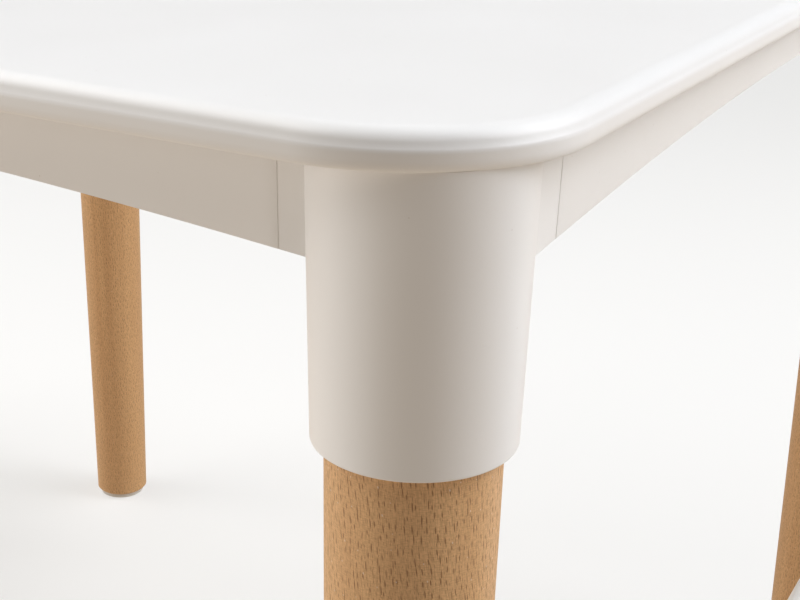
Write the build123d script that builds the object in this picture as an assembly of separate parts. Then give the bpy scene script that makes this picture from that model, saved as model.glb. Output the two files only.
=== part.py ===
from build123d import *
import math
import os

# Kids table with two matching chairs. Millimetres, +Z up.
# The origin is on the floor, under the middle of the table top.
# +X and -X are the two sides where the chairs stand, facing the table.

# ---- table top ----
TABLE_SIZE = 600.0          # side of the square top
TABLE_HEIGHT = 480.0        # floor to the top surface
TABLE_CORNER_R = 50.0       # plan radius of the corners
LIP_DEPTH = 9.5             # height of the edge, top surface to lip underside
CREASE_RISE = 4.4           # the widest line of the edge, above the lip underside
SHOULDER_W = 5.2            # plan width of the soft shoulder over the crease
LIP_W = 8.5                 # plan width of the solid edge band
LIP_EDGE_R = 1.2            # rounding of the lip's lower outer edge
PLATE_T = 5.0               # thickness of the top inside its edge band
TOP_RIB_T = 2.4
TOP_RIB_DEPTH = 11.0        # ribs hang this far below the plate
TOP_RIB_PITCH = 88.0
TOP_RIB_REACH = 252.0       # ribs stop this far from the middle, inside the aprons

# ---- aprons ----
FRONT_INSET = 22.3          # front and back apron faces, behind the lip
SIDE_INSET = 13.0           # left and right apron faces, behind the lip
APRON_T = 3.0
APRON_CORNER_DEPTH = 31.8   # below the lip, at the leg axis
APRON_ARCH = 12.3           # rise of the lower edge from the leg axis to mid-span
APRON_DRAFT = 1.5           # degrees that the faces lean in towards the bottom
APRON_FLANGE_W = 14.0
APRON_FLANGE_T = 3.0
WING_END = 67.0             # plan distance from the edge of the top to the wing seam
WING_STEP = 0.4             # the wing's face is this far behind the apron's
SEAM_GAP = 0.25

# ---- table legs and sockets ----
LEG_INSET = 35.0            # leg axis from both edges of the top
SOCKET_TOP_R = 27.7
SOCKET_MOUTH_R = 26.0
SOCKET_LENGTH = 75.0        # below the lip
SOCKET_BORE_R = 22.6
SOCKET_CAP_T = 12.0         # solid end of the socket, under the top
LEG_MOUTH_R = 22.5
LEG_FOOT_R = 18.5
SOCKET_EDGE_R = 0.8         # rounding of the socket's mouth
LEG_GAP = 4.0               # leg end to socket cap, room for the screw heads
LEG_CHAMFER = 1.5

# ---- chairs ----
SEAT_SIZE = 300.0
SEAT_HEIGHT = 270.0         # floor to the seat's rim
SEAT_CORNER_R = 50.0
SEAT_LIP = 9.5              # height of the seat's edge
SEAT_DISH = 7.0             # depth of the hollow in the seat
SEAT_DISH_SPAN = 122.0      # plan radius of the hollow in the seat
SEAT_T = 5.0
SEAT_SHOULDER_W = 5.2
BACK_TOP = 545.0            # floor to the top of the back
BACK_W = 270.0
BACK_T = 6.0
BACK_LEAN = 9.0             # degrees
BACK_CURVE_R = 300.0        # plan radius of the curved back
BACK_CORNER_R = 60.0
BACK_SIDE_R = 850.0         # the back's sides bow outwards
BACK_WIDEST_Z = 430.0       # floor to where the back is widest
BACK_CROWN_R = 650.0        # the top edge is a shallow arc
CHAIR_LEG_INSET = 33.0
CHAIR_SOCKET_TOP_R = 22.5
CHAIR_SOCKET_MOUTH_R = 21.0
CHAIR_SOCKET_LENGTH = 58.0
CHAIR_BORE_R = 17.6
CHAIR_LEG_MOUTH_R = 17.5
CHAIR_LEG_FOOT_R = 14.0
CHAIR_GAP_TO_TABLE = 22.0   # seat front to the edge of the top, at rest
SKIRT_INSET = 12.0          # moulded skirt under the seat, behind the lip
SKIRT_DEPTH = 20.0          # below the lip, at the leg axis
SKIRT_ARCH = 8.0
BACK_SET_IN = 9.0           # front of the back, ahead of the seat's rear edge

# ---- hardware ----
GLIDE_T = 3.5
GLIDE_EDGE_R = 1.0
GLIDE_NAIL_R = 1.1
GLIDE_NAIL_LENGTH = 16.0
BOLT_R = 4.0
BOLT_IN_LEG = 38.0
INSERT_R = 6.0
SCREW_R = 1.75
SCREW_HEAD_R = 3.4
SCREW_HEAD_T = 2.2
SCREW_HEAD_EDGE_R = 1.0
SOCKET_SCREW_RING_R = 15.0
SOCKET_SCREW_ANGLES = (30, 150, 270)
CHAIR_SCREW_RING_R = 11.5
CHAIR_SCREW_ANGLES = (45, 225)
TOP_SCREW_DEPTH = 6.0       # how far the socket screws go into the table top
CHAIR_SCREW_DEPTH = 5.0
CHAIR_CAP_T = 11.0          # solid end of a chair socket
APRON_SCREW_REACH = 6.0
APRON_SCREW_XS = (-180.0, 0.0, 180.0)
FLANGE_HALF_SPAN = 215.0
INSERT_LENGTH = 10.0
NAIL_HEAD_R = 3.2
NAIL_HEAD_T = 1.0
NAIL_HEAD_PLAY = 0.2        # the recess is this much wider than the nail's head, all round
NAIL_FLOOR_T = 1.5          # plastic between the nail's head and the leg
NAIL_IN_LEG = 14.5
GLIDE_STEP = 2.5            # the leg's foot stands out round its glide by this much

MIRRORS = [(1, 1), (1, -1), (-1, -1), (-1, 1)]
PAST = 1.0                  # a cut runs on past a face by this much, and a joined piece runs in

os.makedirs("parts", exist_ok=True)


def save(shape, node):
    export_step(shape, f"parts/{node}.step")


def group(solids):
    return Compound(children=list(solids))


def disc(radius, z_low, z_high, x=0.0, y=0.0):
    """An upright cylinder between two heights."""
    body = Cylinder(radius, z_high - z_low, align=(Align.CENTER, Align.CENTER, Align.MIN))
    return Pos(x, y, z_low) * body


def taper(low_radius, high_radius, z_low, z_high, x=0.0, y=0.0):
    """An upright cone frustum between two heights."""
    body = Cone(low_radius, high_radius, z_high - z_low, align=(Align.CENTER, Align.CENTER, Align.MIN))
    return Pos(x, y, z_low) * body


def block(x_low, x_high, y_low, y_high, z_low, z_high):
    """A box from its limits."""
    body = Box(x_high - x_low, y_high - y_low, z_high - z_low, align=(Align.MIN, Align.MIN, Align.MIN))
    return Pos(x_low, y_low, z_low) * body


def slab(side, corner_r, z_low, z_high):
    """A square plate with rounded corners."""
    return extrude(Pos(0, 0, z_low) * RectangleRounded(side, side, corner_r), z_high - z_low)


def edge_band(side, corner_r, z_top, depth, crease, shoulder_w, band_w, edge_r):
    """The rounded rim of a moulded top: flat underside, small lower rounding, upright side up to
    the crease, then a soft elliptical shoulder to the top surface. Swept round the plan outline."""
    half = side / 2
    z_low = z_top - depth
    z_crease = z_low + crease
    with BuildSketch(Plane.XZ) as profile:
        with BuildLine():
            Line((half - band_w, z_top), (half - band_w, z_low))
            Line((half - band_w, z_low), (half - edge_r, z_low))
            CenterArc((half - edge_r, z_low + edge_r), edge_r, start_angle=-90, arc_size=90)
            Line((half, z_low + edge_r), (half, z_crease))
            EllipticalCenterArc((half - shoulder_w, z_crease), shoulder_w, z_top - z_crease, arc_size=90)
            Line((half - shoulder_w, z_top), (half - band_w, z_top))
        make_face()
    face = profile.sketch.faces()[0]
    straight = half - corner_r
    run = extrude(Pos(0, straight, 0) * face, 2 * straight, dir=(0, -1, 0))
    corner_axis = Axis((straight, straight, 0), (0, 0, 1))
    turn = revolve(Pos(0, straight, 0) * face, axis=corner_axis, revolution_arc=90)
    rim = [Rot(0, 0, 90 * i) * piece for i in range(4) for piece in (run, turn)]
    return Part() + rim


def arched_panel(half_span, face, z_top, z_corner, corner_at, arch):
    """An upright apron panel that faces -Y. Its lower edge is an arc that rises towards mid-span,
    and the whole panel leans in towards the bottom, turned about its inner top edge."""
    radius = (corner_at ** 2 + arch ** 2) / (2 * arch)
    arc_centre_z = z_corner + arch - radius
    inner = face + APRON_T
    sheet = block(-half_span, half_span, face, inner, z_corner - arch, z_top)
    under = Pos(0, face, arc_centre_z) * Rot(90, 0, 0) * Cylinder(radius, 4 * APRON_T)
    panel = sheet - under
    hinge = Axis((0, inner, z_top), (1, 0, 0))
    return panel.rotate(hinge, APRON_DRAFT)


def spread_to_corners(shape):
    """The front right piece and its three mirror images, in the order of corner_names."""
    back_right = mirror(shape, Plane.XZ)
    return [shape, back_right, mirror(back_right, Plane.YZ), mirror(shape, Plane.YZ)]


def socket_body(place, top_r, mouth_r, bore_r, z_top, length, cap_t, ring_r, screw_angles):
    """A tapered cup for a leg, open at the bottom, with a solid cap that takes the threaded
    insert and the screws. Returns the cup and the solid that is cut from anything joined to it."""
    x, y = place
    z_mouth = z_top - length
    cup = taper(mouth_r, top_r, z_mouth, z_top, x, y)
    mouth_edge = cup.edges().filter_by(GeomType.CIRCLE).sort_by(Axis.Z)[0]
    cup = fillet(mouth_edge, SOCKET_EDGE_R)
    hollow = disc(bore_r, z_mouth - PAST, z_top - cap_t, x, y)
    hollow += disc(INSERT_R, z_top - cap_t, z_top - cap_t + INSERT_LENGTH, x, y)
    for angle in screw_angles:
        spot = ring_point(place, ring_r, angle)
        hollow += disc(SCREW_R, z_top - cap_t, z_top + PAST, *spot)
    return cup, hollow


def ring_point(centre, radius, angle):
    """A point on a circle round a leg axis, angle in degrees from +X."""
    turn = math.radians(angle)
    return centre[0] + radius * math.cos(turn), centre[1] + radius * math.sin(turn)


def turned_leg(place, foot_r, mouth_r, z_foot, z_mouth, z_end, nail_depth):
    """A tapered wooden leg with a straight tenon that fills the socket, bored for its bolt above
    and for the glide's nail below."""
    x, y = place
    lower = taper(foot_r, mouth_r, z_foot, z_mouth, x, y)
    foot_edge = lower.edges().filter_by(GeomType.CIRCLE).sort_by(Axis.Z)[0]
    lower = chamfer(foot_edge, LEG_CHAMFER)
    tenon = disc(mouth_r, z_mouth, z_end, x, y)
    tenon = chamfer(tenon.edges().filter_by(GeomType.CIRCLE).sort_by(Axis.Z)[-1], LEG_CHAMFER)
    leg = lower + tenon
    leg -= disc(BOLT_R, z_end - BOLT_IN_LEG, z_end + PAST, x, y)
    leg -= disc(GLIDE_NAIL_R, z_foot - PAST, z_foot + nail_depth, x, y)
    return leg


def glide(place, radius):
    """A plastic foot pad with a recess for its nail's head."""
    x, y = place
    pad = disc(radius, 0, GLIDE_T, x, y)
    pad = fillet(pad.edges().filter_by(GeomType.CIRCLE).sort_by(Axis.Z)[0], GLIDE_EDGE_R)
    pad -= disc(GLIDE_NAIL_R, -PAST, GLIDE_T + PAST, x, y)
    pad -= disc(NAIL_HEAD_R, -PAST, GLIDE_T - NAIL_FLOOR_T, x, y)
    return pad


def glide_nail(place):
    """A nail whose head sits in the glide's recess, above the floor."""
    x, y = place
    z_head = GLIDE_T - NAIL_FLOOR_T
    head = disc(NAIL_HEAD_R - NAIL_HEAD_PLAY, z_head - NAIL_HEAD_T, z_head, x, y)
    return head + disc(GLIDE_NAIL_R, z_head, z_head + GLIDE_NAIL_LENGTH, x, y)


def hanger_bolt(place, z_leg_end, z_top):
    """A headless bolt, screwed into the leg and into the socket's insert."""
    return disc(BOLT_R, z_leg_end - BOLT_IN_LEG, z_top, *place)


def threaded_insert(place, z_low):
    """A brass bush in the socket's cap."""
    bush = disc(INSERT_R, z_low, z_low + INSERT_LENGTH, *place)
    return bush - disc(BOLT_R, z_low - PAST, z_low + INSERT_LENGTH + PAST, *place)


def pan_screw(spot, z_seat, reach):
    """A pan head screw driven upwards, its head under z_seat."""
    x, y = spot
    head = disc(SCREW_HEAD_R, z_seat - SCREW_HEAD_T, z_seat, x, y)
    head = fillet(head.edges().filter_by(GeomType.CIRCLE).sort_by(Axis.Z)[0], SCREW_HEAD_EDGE_R)
    return head + disc(SCREW_R, z_seat, z_seat + reach, x, y)


def spread_points(points):
    """Points near the front right corner, and their three mirror images."""
    return [(sx * x, sy * y) for sx, sy in MIRRORS for x, y in points]


corner_names = ["front_right", "back_right", "back_left", "front_left"]

# ---- table top ----
half_table = TABLE_SIZE / 2
lip_z = TABLE_HEIGHT - LIP_DEPTH
plate_z = TABLE_HEIGHT - PLATE_T
leg_at = half_table - LEG_INSET
leg_places = spread_points([(leg_at, -leg_at)])

top = edge_band(TABLE_SIZE, TABLE_CORNER_R, TABLE_HEIGHT, LIP_DEPTH, CREASE_RISE,
                SHOULDER_W, LIP_W, LIP_EDGE_R)
top += slab(TABLE_SIZE - 2 * LIP_W, TABLE_CORNER_R - LIP_W, plate_z, TABLE_HEIGHT)
for place in leg_places:
    top += disc(SOCKET_MOUTH_R, lip_z, plate_z + PAST, *place)
rib_lines = [TOP_RIB_PITCH * i for i in range(-2, 3)]
for line in rib_lines:
    rib = block(line - TOP_RIB_T / 2, line + TOP_RIB_T / 2, -TOP_RIB_REACH, TOP_RIB_REACH,
                plate_z - TOP_RIB_DEPTH, plate_z + PAST)
    top += rib
    top += Rot(0, 0, 90) * rib

socket_cap_z = lip_z - SOCKET_CAP_T
screw_reach = SOCKET_CAP_T + TOP_SCREW_DEPTH
socket_screw_spots = spread_points(
    [ring_point(leg_places[0], SOCKET_SCREW_RING_R, angle) for angle in SOCKET_SCREW_ANGLES])
for spot in socket_screw_spots:
    top -= disc(SCREW_R, lip_z - PAST, socket_cap_z + screw_reach, *spot)

# ---- aprons ----
seam_at = half_table - WING_END
apron_low_z = lip_z - APRON_CORNER_DEPTH
flange_z = plate_z - APRON_FLANGE_T
apron_nodes = [("apron_front", FRONT_INSET, 0), ("apron_right", SIDE_INSET, 90),
               ("apron_back", FRONT_INSET, 180), ("apron_left", SIDE_INSET, 270)]
apron_screws = []
for node, inset, turn in apron_nodes:
    face = -(half_table - inset)
    inner = face + APRON_T
    apron = arched_panel(seam_at - SEAM_GAP, face, plate_z, apron_low_z, leg_at, APRON_ARCH)
    apron += block(-FLANGE_HALF_SPAN, FLANGE_HALF_SPAN, inner - PAST, inner + APRON_FLANGE_W,
                   flange_z, plate_z)
    for x in APRON_SCREW_XS:
        spot = (x, inner + APRON_FLANGE_W / 2)
        hole = disc(SCREW_R, flange_z - PAST, flange_z + APRON_SCREW_REACH, *spot)
        apron -= hole
        top -= Rot(0, 0, turn) * hole
        apron_screws.append(Rot(0, 0, turn) * pan_screw(spot, flange_z, APRON_SCREW_REACH))
    save(Rot(0, 0, turn) * apron, node)
save(top, "table_top")
save(group(apron_screws), "apron_screws")

# ---- table sockets, legs and feet ----
front_right = leg_places[0]
cup, hollow = socket_body(front_right, SOCKET_TOP_R, SOCKET_MOUTH_R, SOCKET_BORE_R, lip_z,
                          SOCKET_LENGTH, SOCKET_CAP_T, SOCKET_SCREW_RING_R, SOCKET_SCREW_ANGLES)
corner_zone = block(seam_at, leg_at, -half_table, 0, 0, TABLE_HEIGHT)
front_face = -(half_table - FRONT_INSET - WING_STEP)
front_wing = arched_panel(leg_at, front_face, plate_z, apron_low_z, leg_at, APRON_ARCH)
side_zone = block(0, half_table, -leg_at, -seam_at, 0, TABLE_HEIGHT)
side_face = -(half_table - SIDE_INSET - WING_STEP)
side_wing = Rot(0, 0, 90) * arched_panel(leg_at, side_face, plate_z, apron_low_z, leg_at, APRON_ARCH)
wings = (front_wing & corner_zone) + (side_wing & side_zone)
wings -= disc(SOCKET_TOP_R + 0.2, lip_z, TABLE_HEIGHT, *front_right)
socket = (cup + wings) - hollow

leg_end_z = socket_cap_z - LEG_GAP
mouth_z = lip_z - SOCKET_LENGTH
leg = turned_leg(front_right, LEG_FOOT_R, LEG_MOUTH_R, GLIDE_T, mouth_z, leg_end_z, NAIL_IN_LEG)
pad = glide(front_right, LEG_FOOT_R - GLIDE_STEP)
for name, socket_piece, leg_piece, pad_piece in zip(
        corner_names, spread_to_corners(socket), spread_to_corners(leg), spread_to_corners(pad)):
    save(socket_piece, f"table_socket_{name}")
    save(leg_piece, f"table_leg_{name}")
    save(pad_piece, f"table_glide_{name}")

save(group(hanger_bolt(p, leg_end_z, socket_cap_z + INSERT_LENGTH - 1) for p in leg_places),
     "table_hanger_bolts")
save(group(threaded_insert(p, socket_cap_z) for p in leg_places), "table_inserts")
save(group(pan_screw(s, socket_cap_z, screw_reach) for s in socket_screw_spots), "table_socket_screws")
save(group(glide_nail(p) for p in leg_places), "table_glide_nails")

# ---- one chair, facing -X, its seat's middle over the origin ----
half_seat = SEAT_SIZE / 2
seat_lip_z = SEAT_HEIGHT - SEAT_LIP
seat_plate_z = SEAT_HEIGHT - SEAT_T
chair_leg_at = half_seat - CHAIR_LEG_INSET
chair_places = spread_points([(chair_leg_at, -chair_leg_at)])

shell = edge_band(SEAT_SIZE, SEAT_CORNER_R, SEAT_HEIGHT, SEAT_LIP, CREASE_RISE,
                  SEAT_SHOULDER_W, LIP_W, LIP_EDGE_R)
shell += slab(SEAT_SIZE - 2 * LIP_W, SEAT_CORNER_R - LIP_W, seat_plate_z, SEAT_HEIGHT)
dish_r = (SEAT_DISH_SPAN ** 2 + SEAT_DISH ** 2) / (2 * SEAT_DISH)
dish_centre_z = SEAT_HEIGHT - SEAT_DISH + dish_r
bowl = Pos(0, 0, dish_centre_z) * Sphere(dish_r + SEAT_T)
shell += disc(SEAT_DISH_SPAN, SEAT_HEIGHT - SEAT_DISH - 2 * SEAT_T, SEAT_HEIGHT) & bowl
shell -= Pos(0, 0, dish_centre_z) * Sphere(dish_r)
for place in chair_places:
    shell += disc(CHAIR_SOCKET_MOUTH_R, seat_lip_z, seat_plate_z + PAST, *place)

skirt_face = half_seat - SKIRT_INSET
for turn in range(4):
    skirt = arched_panel(chair_leg_at, -skirt_face, seat_plate_z + PAST, seat_lip_z - SKIRT_DEPTH,
                         chair_leg_at, SKIRT_ARCH)
    shell += Rot(0, 0, 90 * turn) * skirt
for place in chair_places:
    shell -= disc(CHAIR_SOCKET_TOP_R + SEAM_GAP, 0, seat_lip_z, *place)

back_face_x = half_seat - BACK_SET_IN
back_height = BACK_TOP - seat_plate_z
side_centre = BACK_W / 2 - BACK_SIDE_R
widest = BACK_WIDEST_Z - seat_plate_z
outline = Rectangle(BACK_W, 2 * back_height)
outline &= Pos(side_centre, widest) * Circle(BACK_SIDE_R)
outline &= Pos(-side_centre, widest) * Circle(BACK_SIDE_R)
outline &= Pos(0, back_height - BACK_CROWN_R) * Circle(BACK_CROWN_R)
outline &= Pos(0, back_height / 2) * Rectangle(BACK_W, back_height)
outline = fillet(outline.vertices().sort_by(Axis.Y)[-2:], BACK_CORNER_R)
back_slab = Pos(-half_seat, 0, seat_plate_z) * extrude(Plane.YZ * outline, SEAT_SIZE)
curve_x = back_face_x - BACK_CURVE_R
tube = disc(BACK_CURVE_R + BACK_T, seat_plate_z, BACK_TOP, curve_x, 0)
tube -= disc(BACK_CURVE_R, seat_plate_z - PAST, BACK_TOP + PAST, curve_x, 0)
back = back_slab & tube
lean_hinge = Axis((back_face_x, 0, SEAT_HEIGHT), (0, 1, 0))
back = back.rotate(lean_hinge, BACK_LEAN)
back &= slab(2 * SEAT_SIZE, SEAT_CORNER_R, seat_plate_z, BACK_TOP + SEAT_T)
shell += back

chair_cap_z = seat_lip_z - CHAIR_CAP_T
chair_screw_reach = CHAIR_CAP_T + CHAIR_SCREW_DEPTH
chair_screw_spots = spread_points(
    [ring_point(chair_places[0], CHAIR_SCREW_RING_R, angle) for angle in CHAIR_SCREW_ANGLES])
for spot in chair_screw_spots:
    shell -= disc(SCREW_R, seat_lip_z - PAST, chair_cap_z + chair_screw_reach, *spot)

chair_corner = chair_places[0]
cup, hollow = socket_body(chair_corner, CHAIR_SOCKET_TOP_R, CHAIR_SOCKET_MOUTH_R, CHAIR_BORE_R,
                          seat_lip_z, CHAIR_SOCKET_LENGTH, CHAIR_CAP_T, CHAIR_SCREW_RING_R,
                          CHAIR_SCREW_ANGLES)
chair_socket = cup - hollow
chair_leg_end_z = chair_cap_z - LEG_GAP
chair_leg = turned_leg(chair_corner, CHAIR_LEG_FOOT_R, CHAIR_LEG_MOUTH_R, GLIDE_T,
                       seat_lip_z - CHAIR_SOCKET_LENGTH, chair_leg_end_z, NAIL_IN_LEG)
chair_pad = glide(chair_corner, CHAIR_LEG_FOOT_R - GLIDE_STEP)

chair_corner_names = ["back_left", "back_right", "front_right", "front_left"]
chair_pieces = {"seat_shell": shell}
for name, socket_piece, leg_piece, pad_piece in zip(
        chair_corner_names, spread_to_corners(chair_socket), spread_to_corners(chair_leg),
        spread_to_corners(chair_pad)):
    chair_pieces[f"socket_{name}"] = socket_piece
    chair_pieces[f"leg_{name}"] = leg_piece
    chair_pieces[f"glide_{name}"] = pad_piece
chair_pieces["hanger_bolts"] = group(
    hanger_bolt(p, chair_leg_end_z, chair_cap_z + INSERT_LENGTH - 1) for p in chair_places)
chair_pieces["inserts"] = group(threaded_insert(p, chair_cap_z) for p in chair_places)
chair_pieces["socket_screws"] = group(
    pan_screw(s, chair_cap_z, chair_screw_reach) for s in chair_screw_spots)
chair_pieces["glide_nails"] = group(glide_nail(p) for p in chair_places)

# ---- the two chairs in their places ----
chair_x = half_table + CHAIR_GAP_TO_TABLE + half_seat
for piece_name, piece in chair_pieces.items():
    at_right = Pos(chair_x, 0, 0) * piece
    save(at_right, f"right_chair_{piece_name}")
    save(Rot(0, 0, 180) * at_right, f"left_chair_{piece_name}")
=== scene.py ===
# %% [markdown]
# # A low table and two small chairs
# The set is white moulded plastic on round beech legs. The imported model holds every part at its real
# size and place, so it is loaded first and stays fixed. Everything below is built round it, in metres.

# %% Load the frame
import math
import bpy
import bmesh
from mathutils import Matrix, Vector


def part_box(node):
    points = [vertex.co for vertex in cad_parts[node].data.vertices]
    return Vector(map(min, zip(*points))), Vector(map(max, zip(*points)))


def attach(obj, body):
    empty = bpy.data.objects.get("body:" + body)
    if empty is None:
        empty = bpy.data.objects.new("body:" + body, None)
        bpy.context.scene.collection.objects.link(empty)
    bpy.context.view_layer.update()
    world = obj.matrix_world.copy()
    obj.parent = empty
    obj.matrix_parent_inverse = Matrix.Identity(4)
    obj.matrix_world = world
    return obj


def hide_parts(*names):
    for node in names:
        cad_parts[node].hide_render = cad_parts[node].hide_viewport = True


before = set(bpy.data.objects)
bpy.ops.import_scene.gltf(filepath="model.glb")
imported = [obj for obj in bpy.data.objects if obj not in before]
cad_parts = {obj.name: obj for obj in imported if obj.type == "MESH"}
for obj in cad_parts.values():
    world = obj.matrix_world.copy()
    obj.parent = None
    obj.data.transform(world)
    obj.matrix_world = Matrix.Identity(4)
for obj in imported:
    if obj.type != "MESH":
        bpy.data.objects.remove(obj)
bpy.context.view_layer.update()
scene = bpy.context.scene
MM = 0.001

# %% [markdown]
# ## Measures that the pieces share
# A piece takes its place from the imported part that it stands for. Only fine details, such as a rounding,
# are given here.

# %% Places read from the frame
top_low, top_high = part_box("table_top")
table_half = top_high.x
table_z = top_high.z
LIP_DEPTH = 9.5 * MM
lip_z = table_z - LIP_DEPTH
CORNERS = ("front_right", "back_right", "back_left", "front_left")
CHAIRS = {"right_chair": 1, "left_chair": -1}


def middle(node):
    low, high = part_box(node)
    return (low + high) / 2


print("table top:", round(table_half * 2, 3), "m square,", round(table_z, 3), "m high")

# %% [markdown]
# ## A small language for node trees
# Both materials and Geometry Nodes are trees of nodes. `Flow` wraps one output socket, so sums and
# products can be written as plain expressions. `Tree.node` adds any node: its settings first, then the
# values or links of its sockets.

# %% Flow and Tree


class Flow:
    """A number or vector on its way through a tree. Arithmetic on it adds Math nodes."""

    def __init__(self, tree, socket):
        self.tree = tree
        self.socket = socket

    def __add__(self, other):
        return self.tree.math("ADD", self, other)

    def __sub__(self, other):
        return self.tree.math("SUBTRACT", self, other)

    def __rsub__(self, other):
        return self.tree.math("SUBTRACT", other, self)

    def __mul__(self, other):
        return self.tree.math("MULTIPLY", self, other)

    def __truediv__(self, other):
        return self.tree.math("DIVIDE", self, other)

    def __gt__(self, other):
        return self.tree.math("GREATER_THAN", self, other)

    __radd__ = __add__
    __rmul__ = __mul__


class Tree:
    """A node tree under construction."""

    def __init__(self, nodes, links):
        self.nodes = nodes
        self.links = links

    def node(self, kind, settings=None, sockets=None, output=0):
        made = self.nodes.new(kind)
        for key, value in (settings or {}).items():
            setattr(made, key, value)
        for key, value in (sockets or {}).items():
            self.feed(made.inputs[key], value)
        return Flow(self, made.outputs[output]) if made.outputs else None

    def feed(self, socket, value):
        if isinstance(value, Flow):
            self.links.new(value.socket, socket)
        else:
            socket.default_value = value

    def math(self, operation, a, b):
        return self.node("ShaderNodeMath", {"operation": operation}, {0: a, 1: b})

    def vector_math(self, operation, a, b=(0, 0, 0), output=0):
        return self.node("ShaderNodeVectorMath", {"operation": operation}, {0: a, 1: b}, output)

    def combine(self, x=0.0, y=0.0, z=0.0):
        return self.node("ShaderNodeCombineXYZ", None, {"X": x, "Y": y, "Z": z})

    def part(self, vector, axis):
        return self.node("ShaderNodeSeparateXYZ", None, {0: vector}, axis)

    def also(self, flow, output):
        """Another output of the node that a flow comes from."""
        return Flow(self, flow.socket.node.outputs[output])

    def step(self, value, low, high):
        """0 below low, 1 above high, smooth between. It falls instead if low is above high."""
        sockets = {"Value": value, "From Min": low, "From Max": high}
        return self.node("ShaderNodeMapRange", {"interpolation_type": "SMOOTHSTEP"}, sockets)


# %% [markdown]
# ## Camera
# A close product shot looks down on the front right corner with a short telephoto lens. The camera is
# placed from that corner's lip, so it stays in place if the table grows.

# %% Camera
CAMERA_FROM_CORNER = Vector((119.0, -263.7, 85.6)) * MM
CAMERA_AZIMUTH = 28.04
CAMERA_DOWN = 20.40
CAMERA_ROLL = -1.58
CAMERA_LENS = 67.5

corner = Vector((table_half, -table_half, lip_z))
camera_data = bpy.data.cameras.new("camera")
camera_data.sensor_width = 36.0
camera_data.lens = CAMERA_LENS
camera_data.clip_start = 0.01
camera = bpy.data.objects.new("camera", camera_data)
scene.collection.objects.link(camera)
azimuth, down, roll = (math.radians(a) for a in (CAMERA_AZIMUTH, CAMERA_DOWN, CAMERA_ROLL))
turn = (Matrix.Rotation(azimuth, 3, "Z") @ Matrix.Rotation(math.pi / 2 - down, 3, "X")
        @ Matrix.Rotation(-roll, 3, "Z"))
camera.location = corner + CAMERA_FROM_CORNER
camera.rotation_euler = turn.to_euler()
scene.camera = camera
scene.view_settings.view_transform = "Standard"
print("camera at", tuple(round(v, 3) for v in camera.location))

# %% [markdown]
# ## Light
# White goods need shape from light alone. Three broad soft boxes stand to the right and behind, three
# more fill from the left and front, and the line of sight to the corner falls between the two groups.
# So round parts shade off in the middle. The world gives a warm glow from below, as a pale floor would,
# and hardly any from above. Only the camera sees the pale backdrop.

# %% Lights
AIM = Vector((0, 0, 0.40))
LIGHT_DISTANCE = 2.6


def soft_light(name, heading, elevation, size, watts, colour):
    """A soft box aimed at the middle of the set. Heading goes from the front (-Y) towards the right (+X)."""
    round_z, up = math.radians(heading), math.radians(elevation)
    away = Vector((math.sin(round_z) * math.cos(up), -math.cos(round_z) * math.cos(up), math.sin(up)))
    data = bpy.data.lights.new(name, "AREA")
    data.shape = "RECTANGLE"
    data.size, data.size_y = size
    data.energy = watts
    data.color = colour
    light = bpy.data.objects.new(name, data)
    scene.collection.objects.link(light)
    light.location = AIM + away * LIGHT_DISTANCE
    light.rotation_euler = away.to_track_quat("Z", "Y").to_euler()


KEY_WHITE, FILL_WHITE = (0.935, 0.956, 1.0), (1.0, 0.985, 0.970)
BOUNCE, BOUNCE_STRENGTH = (1.0, 0.845, 0.691, 1.0), 0.70
DOME, DOME_STRENGTH = (1.0, 0.97, 0.94, 1.0), 0.04
PALE = (0.945, 0.945, 0.935, 1.0)
soft_light("key_high", 125, 65, (1.6, 1.6), 13, KEY_WHITE)
soft_light("key_low", 130, 38, (1.8, 1.8), 29, KEY_WHITE)
soft_light("key_side", 106, 35, (1.6, 1.6), 40, KEY_WHITE)
soft_light("fill_left", -100, 40, (1.8, 1.8), 15, FILL_WHITE)
soft_light("fill_high", -60, 50, (1.8, 1.8), 44, FILL_WHITE)
soft_light("fill_front", -60, 6, (1.8, 1.1), 31, FILL_WHITE)

world = bpy.data.worlds.new("studio")
scene.world = world
world.use_nodes = True
world.node_tree.nodes.clear()
room = Tree(world.node_tree.nodes, world.node_tree.links)


def glow(colour, strength):
    return room.node("ShaderNodeBackground", None, {"Color": colour, "Strength": strength})


def mixed(share, first, second):
    return room.node("ShaderNodeMixShader", None, {0: share, 1: first, 2: second})


HORIZON_BLUR = 0.2
height = room.part(room.node("ShaderNodeTexCoord", output="Generated"), "Z")
from_above = room.step(height, -HORIZON_BLUR, HORIZON_BLUR)
ambient = mixed(from_above, glow(BOUNCE, BOUNCE_STRENGTH), glow(DOME, DOME_STRENGTH))
seen = room.node("ShaderNodeLightPath", output="Is Camera Ray")
room.node("ShaderNodeOutputWorld", None, {"Surface": mixed(seen, ambient, glow(PALE, 1.0))})

# %% [markdown]
# ## Finishes
# A material is a `Finish`: a tree that ends in one Principled shader. Patterns read Object coordinates,
# which are the same metres as the parts, so a fleck 3 mm long is written as 3 mm.

# %% Finish, the base of every material


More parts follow.
